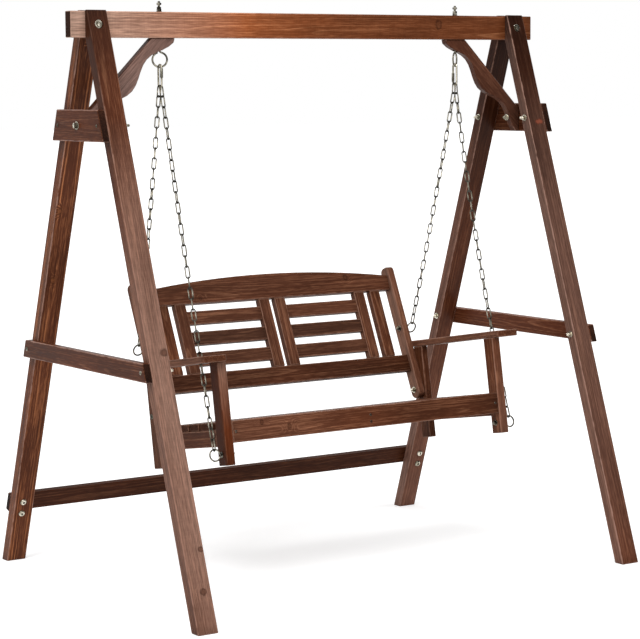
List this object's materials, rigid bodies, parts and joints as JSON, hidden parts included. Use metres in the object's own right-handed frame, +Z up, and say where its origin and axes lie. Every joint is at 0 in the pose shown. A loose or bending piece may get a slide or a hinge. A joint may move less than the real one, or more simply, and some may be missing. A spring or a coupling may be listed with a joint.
{
  "type": "garden swing",
  "caption": "Slatted wooden garden bench with arms and an arched back, hung on chains from the beam of a timber A-frame with wavy corner brackets.",
  "frame": {"origin": "on the ground, midway between the four feet", "axes": "+X along the beam, towards the sitter's left; +Y to the back of the bench; +Z up. The bench faces -Y"},
  "size_m": [1.73, 1.2438, 1.779],
  "materials": {
    "beam_wood": "orange-brown stained softwood, satin",
    "frame_wood": "reddish-brown stained softwood, satin",
    "bench_wood": "reddish-brown stained softwood, satin",
    "frame_hardware": "bright zinc plate",
    "chain_steel": "bright zinc plate"
  },
  "bodies": {
    "frame": {"beam": "beam_wood", "leg_front_left": "frame_wood", "leg_back_left": "frame_wood", "leg_front_right": "frame_wood", "leg_back_right": "frame_wood", "upper_brace_left": "frame_wood", "upper_brace_right": "frame_wood", "side_rail_left": "frame_wood", "side_rail_right": "frame_wood", "rear_stretcher": "frame_wood", "corner_bracket_left": "frame_wood", "corner_bracket_right": "frame_wood", "apex_bolt_left": "frame_hardware", "apex_bolt_right": "frame_hardware", "bracket_bolt_left": "frame_hardware", "bracket_bolt_right": "frame_hardware", "stretcher_bolt_upper_left": "frame_hardware", "stretcher_bolt_lower_left": "frame_hardware", "stretcher_bolt_upper_right": "frame_hardware", "stretcher_bolt_lower_right": "frame_hardware", "beam_eye_bolt_left": "frame_hardware", "beam_eye_bolt_right": "frame_hardware"},
    "swing": {"quick_link_left": "chain_steel", "quick_link_right": "chain_steel", "chain_front_left": "chain_steel", "chain_rear_left": "chain_steel", "chain_front_right": "chain_steel", "chain_rear_right": "chain_steel", "bench_eye_bolt_front_left": "chain_steel", "bench_eye_bolt_rear_left": "chain_steel", "bench_eye_bolt_front_right": "chain_steel", "bench_eye_bolt_rear_right": "chain_steel", "front_post_left": "bench_wood", "front_post_right": "bench_wood", "rear_post_left": "bench_wood", "rear_post_right": "bench_wood", "arm_left": "bench_wood", "arm_right": "bench_wood", "seat_side_rail_left": "bench_wood", "seat_side_rail_right": "bench_wood", "front_seat_rail": "bench_wood", "rear_seat_rail": "bench_wood", "seat_bearer": "bench_wood", "seat_slat_1": "bench_wood", "seat_slat_2": "bench_wood", "seat_slat_3": "bench_wood", "seat_slat_4": "bench_wood", "seat_slat_5": "bench_wood", "seat_slat_6": "bench_wood", "back_stile_left": "bench_wood", "back_stile_right": "bench_wood", "back_top_rail": "bench_wood", "back_bottom_rail": "bench_wood", "back_panel_left": "bench_wood", "back_panel_right": "bench_wood", "back_batten_left": "bench_wood", "back_batten_right": "bench_wood"},
    "sleeve_left": {"quick_link_sleeve_left": "chain_steel"},
    "sleeve_right": {"quick_link_sleeve_right": "chain_steel"}
  },
  "joints": [
    {"name": "bench_swing", "type": "hinge", "parent": "frame", "child": "swing", "pos_m": [0, 0, 1.5825], "axis": [1, 0, 0], "range_deg": [-30, 30]},
    {"name": "sleeve_slide_left", "type": "slide", "parent": "swing", "child": "sleeve_left", "axis": [0, 0, -1], "range_m": [0, 0.017]},
    {"name": "sleeve_slide_right", "type": "slide", "parent": "swing", "child": "sleeve_right", "axis": [0, 0, 1], "range_m": [0, 0.017]}
  ]
}
